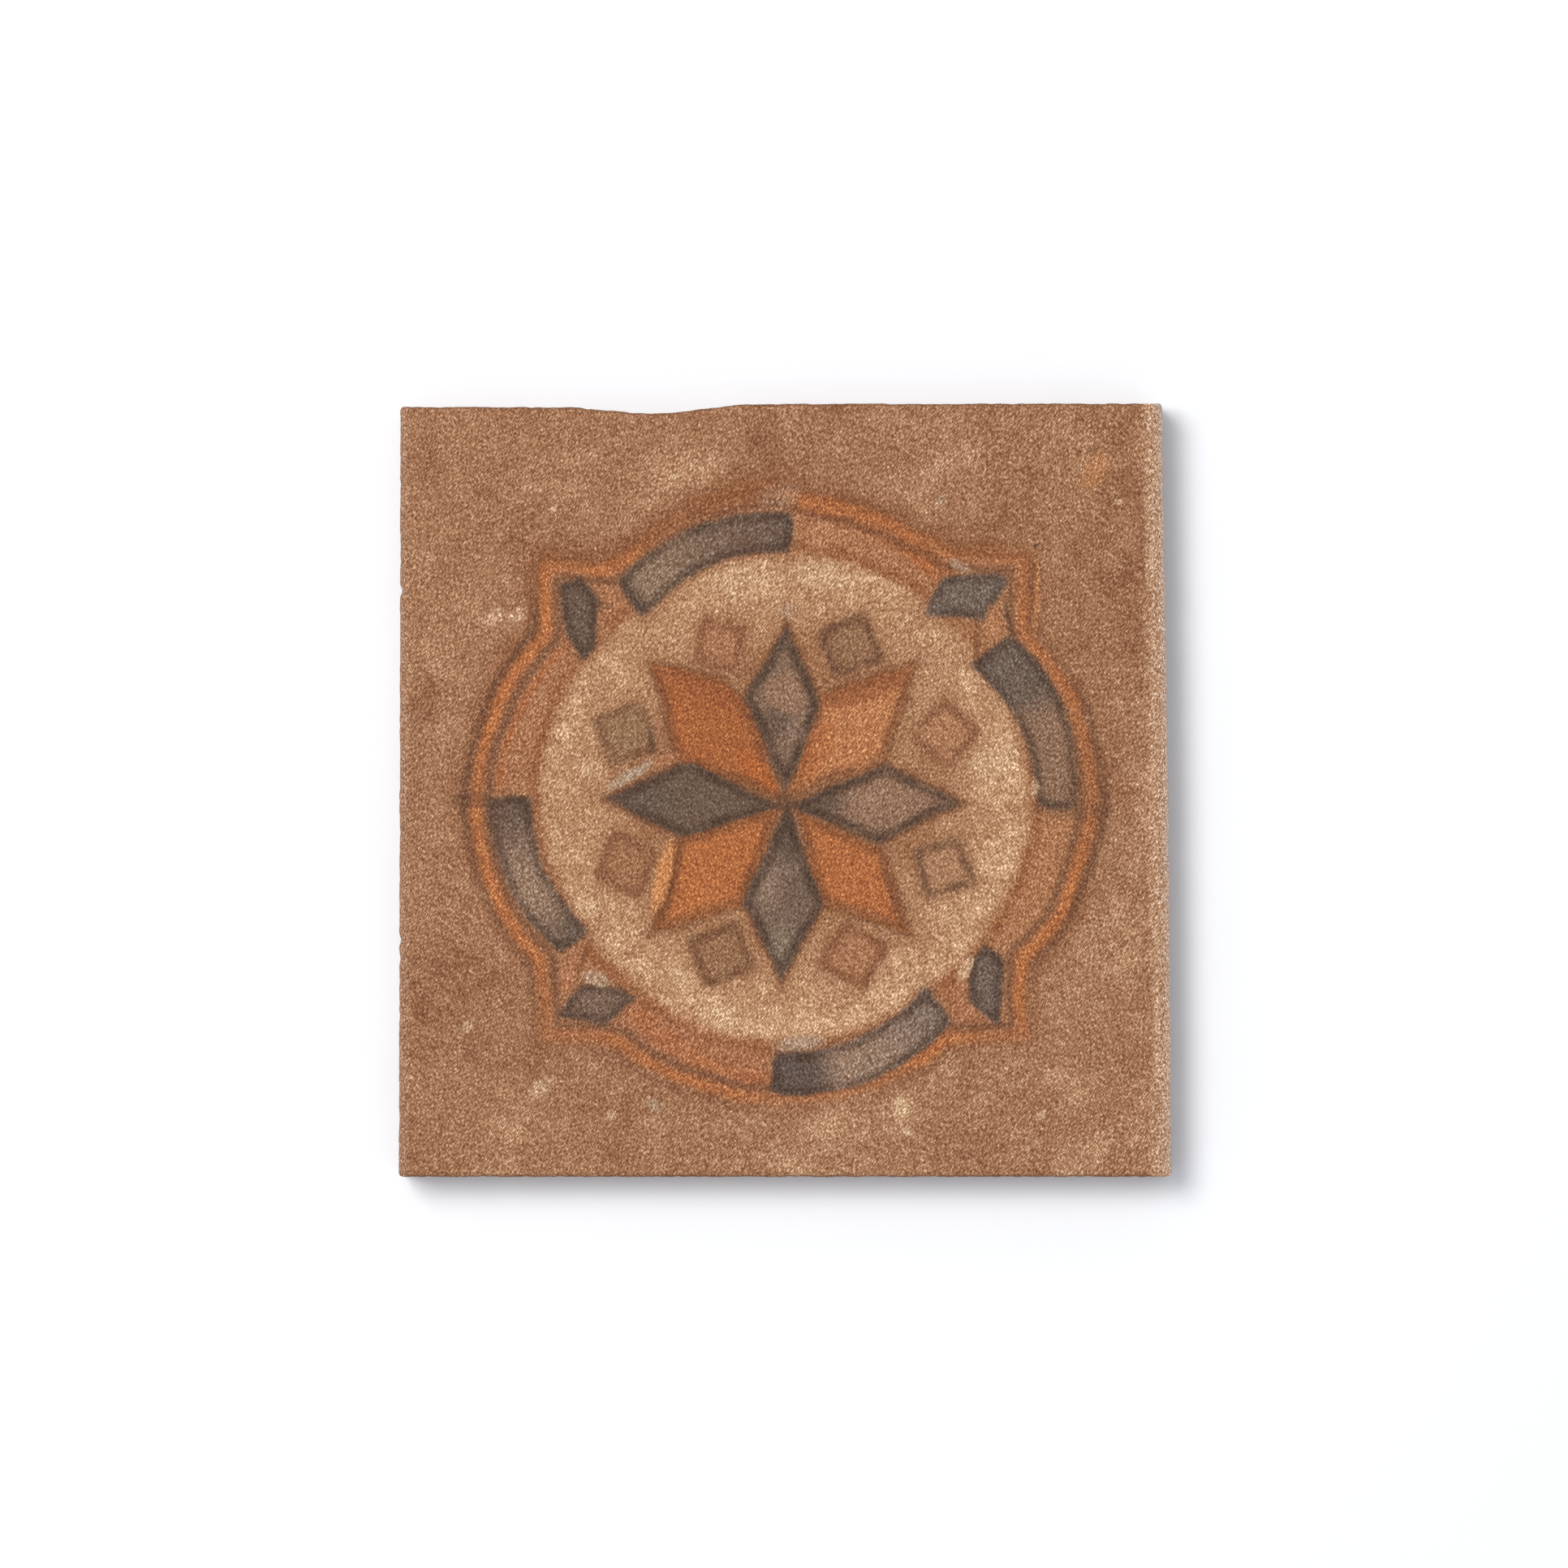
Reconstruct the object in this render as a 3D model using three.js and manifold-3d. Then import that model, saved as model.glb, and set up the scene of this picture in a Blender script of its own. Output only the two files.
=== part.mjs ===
// A small square porcelain tile with a hand-painted face, lying on its back as it would before it is laid.
// It is pressed and fired as one piece, so it is one solid: four uneven sides, a softly rounded rim around
// the face, and a pressed key of square pads on the back that the adhesive grips.
// Millimetres. +Z points up out of the painted face, +X to the right and +Y to the far edge of the face.
// The origin is the middle of the plane that the tile lies on.

import * as THREE from "three";
import { mergeVertices } from "three/addons/utils/BufferGeometryUtils.js";
import Module from "manifold-3d";

// Overall size
const WIDTH = 100.5;
const DEPTH = 100.5;
const THICKNESS = 9;

// The uneven outline. The near edge is straight and square, and the left one is straight but leans.
const LEFT_EDGE_LEAN = 0.2; // how far the left edge has come in at the far corner
const RIGHT_EDGE_LEAN = 1.25; // how far the right edge has come in at the far corner
const RIGHT_EDGE_BOW = 1.6; // power of the right edge's curve: 1 would be a straight lean
const FAR_EDGE_STEP = 0.42; // the left part of the far edge stands this much further in
const FAR_EDGE_STEP_LEFT = -25; // where that step starts along X
const FAR_EDGE_STEP_RIGHT = 5; // and where it has run out
const FAR_EDGE_DIP = 0.9; // depth of the hollow in the far edge
const FAR_EDGE_DIP_X = -16.4; // its deepest place along X
const FAR_EDGE_DIP_REACH = 12.5; // how far it runs to each side of that

// The rounded rim between the face and the sides, and the corners seen from above
const LEFT_RIM_RADIUS = 1.6;
const RIGHT_RIM_RADIUS = 2.2;
const NEAR_RIM_RADIUS = 0.8;
const FAR_RIM_RADIUS = 0.8;
const BODY_CORNER_RADIUS = 0.5;
const FACE_CORNER_RADIUS = 0.9;
const WORN_CORNER_RADIUS = 1.9; // the far right corner of the face is rubbed rounder than the others

// The back
const BACK_CHAMFER = 0.8;
const KEY_PITCH = 12.6; // from one pad to the next
const KEY_GROOVE_WIDTH = 3;
const KEY_GROOVE_DEPTH = 0.8;
const KEY_RIM_WIDTH = 4; // the least width of plain back left around the grooves, chamfer included

// How finely the curves are divided
const RIM_STEPS = 5;
const CORNER_STEPS = 4;
const RIGHT_EDGE_STEPS = 12;
const FAR_EDGE_STEPS = 26;

const NEAR = 0;
const RIGHT = 1;
const FAR = 2;
const LEFT = 3;
const RIM_RADII = [NEAR_RIM_RADIUS, RIGHT_RIM_RADIUS, FAR_RIM_RADIUS, LEFT_RIM_RADIUS];

// A corner has the number of the side that ends there: near right, far right, far left, near left
const BODY_CORNER_RADII = RIM_RADII.map(() => BODY_CORNER_RADIUS);
const FACE_CORNER_RADII = [FACE_CORNER_RADIUS, WORN_CORNER_RADIUS, FACE_CORNER_RADIUS, FACE_CORNER_RADIUS];

// The four edges of the outline, each as the place of the edge for a place along it
function nearEdgeY() {
  return -DEPTH / 2;
}

function farEdgeY(x) {
  const step = FAR_EDGE_STEP * (1 - THREE.MathUtils.smoothstep(x, FAR_EDGE_STEP_LEFT, FAR_EDGE_STEP_RIGHT));
  const away = Math.min(Math.abs(x - FAR_EDGE_DIP_X) / FAR_EDGE_DIP_REACH, 1);
  const dip = FAR_EDGE_DIP * Math.cos((away * Math.PI) / 2) ** 2;
  return DEPTH / 2 - step - dip;
}

function shareOfDepth(y) {
  return THREE.MathUtils.clamp(y / DEPTH + 0.5, 0, 1);
}

function leftEdgeX(y) {
  return -WIDTH / 2 + LEFT_EDGE_LEAN * shareOfDepth(y);
}

function rightEdgeX(y) {
  return WIDTH / 2 - RIGHT_EDGE_LEAN * shareOfDepth(y) ** RIGHT_EDGE_BOW;
}

// The point where the tile's outline, brought in by an inset on each side, has one of its corners
function cornerOf(side, inset) {
  const atRight = side === NEAR || side === RIGHT;
  const atFar = side === RIGHT || side === FAR;
  const y = atFar ? farEdgeY(atRight ? WIDTH / 2 : -WIDTH / 2) - inset[FAR] : nearEdgeY() + inset[NEAR];
  const x = atRight ? rightEdgeX(y) - inset[RIGHT] : leftEdgeX(y) + inset[LEFT];
  return new THREE.Vector2(x, y);
}

// Values evenly spaced from one end to the other, both ends included
function evenly(from, to, steps) {
  return Array.from({ length: steps + 1 }, (_, i) => THREE.MathUtils.lerp(from, to, i / steps));
}

// Points along one side between its two corner arcs, where the side is curved. A straight one needs none.
function sidePoints(side, inset) {
  if (side === RIGHT) {
    const inner = evenly(-DEPTH / 2, DEPTH / 2, RIGHT_EDGE_STEPS).slice(1, -1);
    return inner.map((y) => new THREE.Vector2(rightEdgeX(y) - inset[RIGHT], y));
  }
  if (side === FAR) {
    const start = Math.max(FAR_EDGE_STEP_RIGHT, FAR_EDGE_DIP_X + FAR_EDGE_DIP_REACH);
    const end = Math.min(FAR_EDGE_STEP_LEFT, FAR_EDGE_DIP_X - FAR_EDGE_DIP_REACH);
    return evenly(start, end, FAR_EDGE_STEPS).map((x) => new THREE.Vector2(x, farEdgeY(x) - inset[FAR]));
  }
  return [];
}

// One closed ring of the loft. insetOf and heightOf give the inset and the height for a rim radius,
// because the rim is rounder on some sides than on others and changes through each corner.
function ring(insetOf, heightOf, radii) {
  const inset = RIM_RADII.map(insetOf);
  const points = [];
  for (let side = NEAR; side <= LEFT; side++) {
    for (const p of sidePoints(side, inset)) {
      points.push(new THREE.Vector3(p.x, p.y, heightOf(RIM_RADII[side])));
    }
    const next = (side + 1) % 4;
    const corner = cornerOf(side, inset);
    const radius = radii[side];
    const outward = new THREE.Vector2(Math.sign(corner.x), Math.sign(corner.y));
    const centre = corner.clone().addScaledVector(outward, -radius);
    for (let i = 0; i <= CORNER_STEPS; i++) {
      const t = i / CORNER_STEPS;
      const angle = ((side - 1 + t) * Math.PI) / 2;
      const height = heightOf(THREE.MathUtils.lerp(RIM_RADII[side], RIM_RADII[next], t));
      points.push(
        new THREE.Vector3(centre.x + radius * Math.cos(angle), centre.y + radius * Math.sin(angle), height),
      );
    }
  }
  return points;
}

// The rings of the tile's section, from the back up to the face
function sectionRings() {
  const rings = [
    ring(() => BACK_CHAMFER, () => 0, BODY_CORNER_RADII),
    ring(() => 0, () => BACK_CHAMFER, BODY_CORNER_RADII),
  ];
  for (let i = 0; i <= RIM_STEPS; i++) {
    const turn = ((i / RIM_STEPS) * Math.PI) / 2;
    const corners = FACE_CORNER_RADII.map((r) => THREE.MathUtils.lerp(BODY_CORNER_RADIUS, r, i / RIM_STEPS));
    rings.push(
      ring((r) => r * (1 - Math.cos(turn)), (r) => THICKNESS - r * (1 - Math.sin(turn)), corners),
    );
  }
  return rings;
}

// A closed mesh through the rings, with a flat cap on the first and the last
function loft(rings) {
  const count = rings[0].length;
  const positions = rings.flat().flatMap((p) => [p.x, p.y, p.z]);
  const triangles = [];
  for (let level = 0; level + 1 < rings.length; level++) {
    for (let i = 0; i < count; i++) {
      const a = level * count + i;
      const b = level * count + ((i + 1) % count);
      triangles.push(a, b, b + count, a, b + count, a + count);
    }
  }
  const flatten = (points) => points.map((p) => new THREE.Vector2(p.x, p.y));
  const cap = (points) => THREE.ShapeUtils.triangulateShape(flatten(points), []);
  const top = (rings.length - 1) * count;
  for (const [a, b, c] of cap(rings[rings.length - 1])) {
    triangles.push(top + a, top + b, top + c);
  }
  for (const [a, b, c] of cap(rings[0])) {
    triangles.push(a, c, b);
  }
  const geometry = new THREE.BufferGeometry();
  geometry.setAttribute("position", new THREE.Float32BufferAttribute(positions, 3));
  geometry.setIndex(triangles);
  return geometry;
}

// The places of the grooves across one direction: one on each side of every pad, with a pad in the middle
function groovePlaces(length) {
  const room = length - 2 * KEY_RIM_WIDTH - KEY_GROOVE_WIDTH;
  const whole = Math.floor(room / KEY_PITCH);
  const pads = whole % 2 === 1 ? whole : whole - 1;
  return Array.from({ length: pads + 1 }, (_, i) => (i - pads / 2) * KEY_PITCH);
}

// The box that cuts one groove runs from below the back up to the groove's floor
function grooveBox(sizeX, sizeY, x, y) {
  const box = new THREE.BoxGeometry(sizeX, sizeY, 2 * KEY_GROOVE_DEPTH);
  box.translate(x, y, 0);
  return box;
}

function keyGrooves() {
  const alongX = groovePlaces(WIDTH);
  const alongY = groovePlaces(DEPTH);
  const reachX = 2 * alongX.at(-1) + KEY_GROOVE_WIDTH;
  const reachY = 2 * alongY.at(-1) + KEY_GROOVE_WIDTH;
  return [
    ...alongX.map((x) => grooveBox(KEY_GROOVE_WIDTH, reachY, x, 0)),
    ...alongY.map((y) => grooveBox(reachX, KEY_GROOVE_WIDTH, 0, y)),
  ];
}

const wasm = await Module();
wasm.setup();

function toSolid(geometry) {
  const bare = geometry.clone();
  bare.deleteAttribute("normal");
  bare.deleteAttribute("uv");
  const merged = mergeVertices(bare);
  return new wasm.Manifold(
    new wasm.Mesh({
      numProp: 3,
      vertProperties: merged.attributes.position.array,
      triVerts: new Uint32Array(merged.index.array),
    }),
  );
}

function toGeometry(solid) {
  const mesh = solid.getMesh();
  const geometry = new THREE.BufferGeometry();
  geometry.setAttribute("position", new THREE.Float32BufferAttribute(mesh.vertProperties, 3));
  geometry.setIndex(new THREE.Uint32BufferAttribute(mesh.triVerts, 1));
  geometry.computeVertexNormals();
  return geometry;
}

function makeTile() {
  let body = toSolid(loft(sectionRings()));
  for (const groove of keyGrooves()) {
    body = body.subtract(toSolid(groove));
  }
  const glaze = new THREE.MeshStandardMaterial({ color: 0xa57858, roughness: 0.6, metalness: 0 });
  const tile = new THREE.Mesh(toGeometry(body), glaze);
  tile.name = "tile";
  return tile;
}

const paintedTile = new THREE.Group();
paintedTile.add(makeTile());

export default paintedTile;
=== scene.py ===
# %% [markdown]
# # A hand-painted porcelain tile
# The object is a small square tile, pressed from porcelain clay, painted by hand and fired as one piece.
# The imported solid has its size, its uneven outline, its rounded rim and its keyed back. This lesson makes
# the same piece again with a finer surface, paints it with shader nodes, and lays it on a pale floor
# under soft light, seen from straight above.

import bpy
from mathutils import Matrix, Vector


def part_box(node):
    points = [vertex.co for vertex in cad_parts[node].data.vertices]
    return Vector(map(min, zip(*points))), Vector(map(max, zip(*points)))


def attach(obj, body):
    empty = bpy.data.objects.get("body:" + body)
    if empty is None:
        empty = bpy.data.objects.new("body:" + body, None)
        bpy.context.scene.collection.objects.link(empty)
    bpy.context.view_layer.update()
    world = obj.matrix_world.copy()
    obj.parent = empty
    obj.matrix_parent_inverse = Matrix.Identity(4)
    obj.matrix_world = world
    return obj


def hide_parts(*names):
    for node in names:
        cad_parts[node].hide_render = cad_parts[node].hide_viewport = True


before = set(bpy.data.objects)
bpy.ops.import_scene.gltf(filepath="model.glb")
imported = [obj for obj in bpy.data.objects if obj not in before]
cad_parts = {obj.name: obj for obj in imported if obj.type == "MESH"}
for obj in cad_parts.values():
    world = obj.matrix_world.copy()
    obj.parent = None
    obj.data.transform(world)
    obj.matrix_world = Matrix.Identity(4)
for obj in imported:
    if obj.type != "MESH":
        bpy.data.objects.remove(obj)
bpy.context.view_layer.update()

# %% [markdown]
# ## Sizes
# Everything is in metres, so a length in millimetres is written with MM. The overall size comes from the
# solid. The outline's own figures are the ones that the solid was made from: a tile pressed by hand has
# no two sides alike, so each side has a formula of its own.

# %% The overall size and the four edges
import math
from functools import reduce

import bmesh
import bpy
from mathutils import Vector, noise

MM = 0.001
low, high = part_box("tile")
WIDTH, DEPTH, THICKNESS = high - low
LEFT_EDGE_LEAN = 0.2 * MM
RIGHT_EDGE_LEAN = 1.25 * MM
RIGHT_EDGE_BOW = 1.6
FAR_EDGE_STEP = 0.42 * MM
FAR_EDGE_STEP_LEFT = -25 * MM
FAR_EDGE_STEP_RIGHT = 5 * MM
FAR_EDGE_DIP = 0.9 * MM
FAR_EDGE_DIP_X = -16.4 * MM
FAR_EDGE_DIP_REACH = 12.5 * MM
print("tile:", [round(size / MM, 2) for size in (WIDTH, DEPTH, THICKNESS)], "mm")


def share_between(value, start, end):
    """How far value is on its way from start to end, from 0 to 1."""
    return min(max((value - start) / (end - start), 0), 1)


def blend(start, end, share):
    return start + (end - start) * share


def left_edge(y):
    return -WIDTH / 2 + LEFT_EDGE_LEAN * share_between(y, -DEPTH / 2, DEPTH / 2)


def right_edge(y):
    return WIDTH / 2 - RIGHT_EDGE_LEAN * share_between(y, -DEPTH / 2, DEPTH / 2) ** RIGHT_EDGE_BOW


def far_edge(x):
    step = share_between(x, FAR_EDGE_STEP_LEFT, FAR_EDGE_STEP_RIGHT)
    step = step * step * (3 - 2 * step)
    away = min(abs(x - FAR_EDGE_DIP_X) / FAR_EDGE_DIP_REACH, 1)
    dip = FAR_EDGE_DIP * math.cos(away * math.pi / 2) ** 2
    return DEPTH / 2 - FAR_EDGE_STEP * (1 - step) - dip


# %% [markdown]
# ## Wear along the edges
# The real sides are nibbled by a fraction of a millimetre, as pressed clay is when it leaves its mould,
# and a few dents go deeper. A noise that only ever takes material away keeps the piece inside its solid.
# It is read along each edge, so the bite goes down the whole side and shows in the outline from above.

# %% Nibbled edges and dents
NIBBLE = 0.16 * MM
NIBBLE_PERIODS = (3.4 * MM, 0.9 * MM)
NIBBLE_LEVEL = 0.25
NIBBLE_SWING = 0.6
ROW_SPACING = 7.3
DENT_WIDTH = 1.1 * MM
# Side, place along it, depth
DENTS = (
    ("left", 26.2 * MM, 0.34 * MM),
    ("left", 30.1 * MM, 0.14 * MM),
    ("left", -5.4 * MM, 0.16 * MM),
    ("left", -19.4 * MM, 0.26 * MM),
    ("left", -21.8 * MM, 0.2 * MM),
    ("far", -25.6 * MM, 0.2 * MM),
    ("far", -23.2 * MM, 0.12 * MM),
    ("right", -8.3 * MM, 0.14 * MM),
    ("right", 31.6 * MM, 0.12 * MM),
)
SIDES = ("near", "right", "far", "left")


def bite(side, along):
    """How far the worn edge stands back from the clean one, at a place along a side."""
    row = ROW_SPACING * SIDES.index(side)
    waves = [noise.noise(Vector((along / period, row, row))) for period in NIBBLE_PERIODS]
    worn = NIBBLE * max(0, NIBBLE_LEVEL + NIBBLE_SWING * sum(waves))
    for dent_side, place, depth in DENTS:
        if dent_side == side:
            worn = max(worn, depth * math.exp(-(((along - place) / (DENT_WIDTH / 2)) ** 2)))
    return worn


deepest = max(bite("left", place * MM) for place in range(-50, 51))
print("deepest bite sampled on the left side:", round(deepest / MM, 3), "mm")

# %% [markdown]
# ## The body
# A slab like this could be a bevelled cube, but one bevel gives every side the same rim, and the real rim
# is broad on the right and tight at the near and far edges. So the piece starts as a fine grid for the
# face. Its border is extruded down in steps to make a plain box, and then every point of the box is moved
# to its place on the uneven tile: how far down the side a point is decides how far round the rim it goes.

# %% A grid for the face, its border extruded down, and a closed back
FACE_CELLS = 240
RIM_ZONE = 2.4 * MM
RIM_STEPS = 8
BACK_CHAMFER = 0.8 * MM
WALL_STEPS = 9

bpy.ops.object.select_all(action="DESELECT")
bpy.ops.mesh.primitive_grid_add(
    x_subdivisions=FACE_CELLS, y_subdivisions=FACE_CELLS, size=1, location=(0, 0, THICKNESS)
)
tile = bpy.context.object
tile.name = "painted_tile"
tile.scale = (WIDTH, DEPTH, 1)
bpy.ops.object.transform_apply(location=True, rotation=True, scale=True)

bpy.ops.object.mode_set(mode="EDIT")
bpy.ops.mesh.select_mode(type="EDGE")
bpy.ops.mesh.select_all(action="DESELECT")
bpy.ops.mesh.select_non_manifold(use_wire=False, use_multi_face=False, use_non_contiguous=False)
wall_step = (THICKNESS - RIM_ZONE - BACK_CHAMFER) / WALL_STEPS
for drop in [RIM_ZONE / RIM_STEPS] * RIM_STEPS + [wall_step] * WALL_STEPS + [BACK_CHAMFER]:
    bpy.ops.mesh.extrude_region_move(TRANSFORM_OT_translate={"value": (0, 0, -drop)})
bpy.ops.mesh.edge_face_add()
bpy.ops.mesh.select_all(action="SELECT")
bpy.ops.mesh.normals_make_consistent(inside=False)
bpy.ops.object.mode_set(mode="OBJECT")
print("plain box:", len(tile.data.vertices), "points,", len(tile.data.polygons), "faces")

# %% [markdown]
# Each point of the box gets its place from four things: the edges of the tile at its height, the round
# corners, the rim's quarter circle, and a slight unevenness. A square corner is made round by pulling the
# points near it onto arcs, which leaves the points along the arcs' ends where they were.

# %% Move the box onto the uneven tile
RIM_RADII = {"near": 0.8 * MM, "right": 2.2 * MM, "far": 0.8 * MM, "left": 1.6 * MM}
BODY_CORNER_RADIUS = 0.5 * MM
FACE_CORNER_RADIUS = 0.9 * MM
WORN_CORNER_RADIUS = 1.9 * MM
FACE_SWELL = 0.07 * MM
FACE_SWELL_PERIOD = 21 * MM
WALL_GRIT = 0.07 * MM
WALL_GRIT_PERIOD = 0.8 * MM


def corner_radius(toward_right, toward_far, down):
    face = WORN_CORNER_RADIUS if toward_right and toward_far else FACE_CORNER_RADIUS
    return blend(face, BODY_CORNER_RADIUS, down)


def placed(x, y, z):
    """The place on the tile of a point of the plain box."""
    down = share_between(THICKNESS - z, 0, RIM_ZONE)
    turn = down * math.pi / 2
    tuck = BACK_CHAMFER * (1 - share_between(z, 0, BACK_CHAMFER))
    grit = WALL_GRIT * (0.5 + 0.5 * noise.noise(Vector((x, y, z)) / WALL_GRIT_PERIOD)) * down
    inset = {side: radius * (1 - math.sin(turn)) + tuck + grit for side, radius in RIM_RADII.items()}

    near = -DEPTH / 2 + inset["near"] + bite("near", x)
    far = far_edge(x) - inset["far"] - bite("far", x)
    new_y = blend(near, far, y / DEPTH + 0.5)
    left = left_edge(new_y) + inset["left"] + bite("left", y)
    right = right_edge(new_y) - inset["right"] - bite("right", y)
    new_x = blend(left, right, x / WIDTH + 0.5)

    side_x, edge_x, sign_x = ("right", right, 1) if x > 0 else ("left", left, -1)
    side_y, edge_y, sign_y = ("far", far, 1) if y > 0 else ("near", near, -1)
    radius = corner_radius(x > 0, y > 0, down)
    p = (new_x - edge_x) * sign_x / radius + 1
    q = (new_y - edge_y) * sign_y / radius + 1
    rim = RIM_RADII[side_x if abs(x) / WIDTH > abs(y) / DEPTH else side_y]
    if p > 0 and q > 0:
        arc_p, arc_q = p * math.sqrt(1 - q * q / 2), q * math.sqrt(1 - p * p / 2)
        new_x = edge_x + (arc_p - 1) * radius * sign_x
        new_y = edge_y + (arc_q - 1) * radius * sign_y
        round_corner = math.atan2(arc_q, arc_p) / (math.pi / 2)
        rim = blend(RIM_RADII[side_x], RIM_RADII[side_y], round_corner)

    if down < 1:
        new_z = THICKNESS - rim * (1 - math.cos(turn))
    else:
        up_the_wall = share_between(z, BACK_CHAMFER, THICKNESS - RIM_ZONE)
        new_z = blend(min(z, BACK_CHAMFER), THICKNESS - rim, up_the_wall)
    swell = 0.5 + 0.5 * noise.noise(Vector((x, y, 0)) / FACE_SWELL_PERIOD)
    return new_x, new_y, new_z - FACE_SWELL * swell * z / THICKNESS


for vertex in tile.data.vertices:
    vertex.co = placed(*vertex.co)
tile.data.update()
print("shaped box, in mm:", [round(size / MM, 3) for size in tile.dimensions])

# %% [markdown]
# ## The key on the back
# The photo doesn't show the back, so it is finished plainly, as such tiles are: square pads stand between
# grooves that the adhesive grips, inside a plain border. The back is one large face. It is cut along the
# sides of every groove with bisect, the strips between the cuts are extruded up into the body, and the
# pads' edges are softened with a small bevel, as a press leaves them.

# %% Cut the back along the grooves
KEY_PITCH = 12.6 * MM
KEY_GROOVE_WIDTH = 3 * MM
KEY_GROOVE_DEPTH = 0.8 * MM
KEY_RIM_WIDTH = 4 * MM
PAD_EDGE_RADIUS = 0.25 * MM
ON_BACK = 0.01 * MM


def groove_places(length):
    whole = int((length - 2 * KEY_RIM_WIDTH - KEY_GROOVE_WIDTH) // KEY_PITCH)
    pads = whole if whole % 2 == 1 else whole - 1
    return [(i - pads / 2) * KEY_PITCH for i in range(pads + 1)]


def select_faces(wanted):
    """Selects the faces whose middle passes a test, in edit mode, and nothing else."""
    mesh = bmesh.from_edit_mesh(tile.data)
    for element in (*mesh.verts, *mesh.edges, *mesh.faces):
        element.select = False
    chosen = [face for face in mesh.faces if wanted(face.calc_center_median())]
    for face in chosen:
        face.select_set(True)
    bmesh.update_edit_mesh(tile.data)
    return len(chosen)


def on_back(middle):
    return middle.z < ON_BACK


grooves = groove_places(WIDTH)
reach = grooves[-1] + KEY_GROOVE_WIDTH / 2
bpy.ops.object.mode_set(mode="EDIT")
bpy.ops.mesh.select_mode(type="FACE")
for place in grooves:
    for side in (-1, 1):
        cut = place + side * KEY_GROOVE_WIDTH / 2
        for point, normal in (((cut, 0, 0), (1, 0, 0)), ((0, cut, 0), (0, 1, 0))):
            select_faces(on_back)
            bpy.ops.mesh.bisect(plane_co=point, plane_no=normal)
back_faces = select_faces(on_back)
print(len(grooves), "grooves each way,", back_faces, "faces on the back")

# %% Press the grooves in and soften the pads
SHARP_ANGLE = math.radians(80)
SMOOTH_ANGLE = math.radians(40)


def in_groove(middle):
    across = min(abs(middle.x - place) for place in grooves) < KEY_GROOVE_WIDTH / 2
    along = min(abs(middle.y - place) for place in grooves) < KEY_GROOVE_WIDTH / 2
    inside = abs(middle.x) < reach and abs(middle.y) < reach
    return on_back(middle) and inside and (across or along)


print("groove faces:", select_faces(in_groove))
bpy.ops.mesh.extrude_region_move(TRANSFORM_OT_translate={"value": (0, 0, KEY_GROOVE_DEPTH)})

bpy.ops.mesh.select_mode(type="EDGE")
mesh = bmesh.from_edit_mesh(tile.data)
for element in (*mesh.verts, *mesh.edges, *mesh.faces):
    element.select = False
pad_edges = 0
for edge in mesh.edges:
    lies_on_back = all(on_back(vertex.co) for vertex in edge.verts)
    if lies_on_back and len(edge.link_faces) == 2 and edge.calc_face_angle() > SHARP_ANGLE:
        edge.select_set(True)
        pad_edges += 1
bmesh.update_edit_mesh(tile.data)
bpy.ops.mesh.bevel(offset=PAD_EDGE_RADIUS, segments=2, affect="EDGES")
bpy.ops.mesh.select_all(action="SELECT")
bpy.ops.mesh.remove_doubles(threshold=0.001 * MM)
bpy.ops.mesh.normals_make_consistent(inside=False)
bpy.ops.object.mode_set(mode="OBJECT")
bpy.ops.object.shade_smooth_by_angle(angle=SMOOTH_ANGLE)
triangles = sum(len(face.vertices) - 2 for face in tile.data.polygons)
print("pad edges softened:", pad_edges, "triangles:", triangles)

# %% [markdown]
# ## A map for the painted surface
# A picture of the finish can be made from the nodes later, so the piece carries a flat map with the face
# over most of it, because the painting is there. The four sides lie in strips above the face, and the
# plain back is small beside it. A cube projection would do, but it would give the back as much room.

# %% Lay out the map
FACE_SHARE = 0.78
BACK_SHARE = 0.19
MARGIN = 0.01
STRIP = (1 - FACE_SHARE - 3 * MARGIN) / 4
STRIP_FILL = 0.9
GROOVE_REACH = 1.2 * KEY_GROOVE_DEPTH


def map_place(point, normal):
    across, up = point.x / WIDTH + 0.5, point.y / DEPTH + 0.5
    if normal.z > 0.5:
        return MARGIN + FACE_SHARE * across, MARGIN + FACE_SHARE * up
    in_key = point.z < GROOVE_REACH and max(abs(point.x), abs(point.y)) < reach + MM
    if in_key or normal.z < -0.5:
        return 2 * MARGIN + FACE_SHARE + BACK_SHARE * across, MARGIN + BACK_SHARE * up
    if abs(normal.x) > abs(normal.y):
        row, along = (0 if normal.x < 0 else 1), up
    else:
        row, along = (2 if normal.y < 0 else 3), across
    height = STRIP_FILL * point.z / THICKNESS
    return MARGIN + FACE_SHARE * along, 2 * MARGIN + FACE_SHARE + STRIP * (row + height)


while tile.data.uv_layers:
    tile.data.uv_layers.remove(tile.data.uv_layers[0])
bake_map = tile.data.uv_layers.new(name="OFBake")
for face in tile.data.polygons:
    for loop in face.loop_indices:
        corner = tile.data.vertices[tile.data.loops[loop].vertex_index].co
        bake_map.data[loop].uv = map_place(corner, face.normal)
print("map:", len(bake_map.data), "corners placed")

# %% [markdown]
# ## Words for the painting
# A painting made of nodes is mostly distances: how far a point is from a line or a shape decides how much
# of each colour it takes. Written node by node that is hard to read. So a Field stands for a number that
# varies over the tile, and adding or comparing Fields adds the nodes that do so.

# %% Fields and sums
material = bpy.data.materials.new("painted porcelain")
material.use_nodes = True
tree = material.node_tree
tree.nodes.clear()


class Field:
    """A number or colour that varies over the tile: the output socket of a shader node."""

    def __init__(self, socket):
        self.socket = socket

    def __add__(self, other):
        return maths("ADD", self, other)

    def __sub__(self, other):
        return maths("SUBTRACT", self, other)

    def __mul__(self, other):
        return maths("MULTIPLY", self, other)

    def __abs__(self):
        return maths("ABSOLUTE", self)


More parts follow.
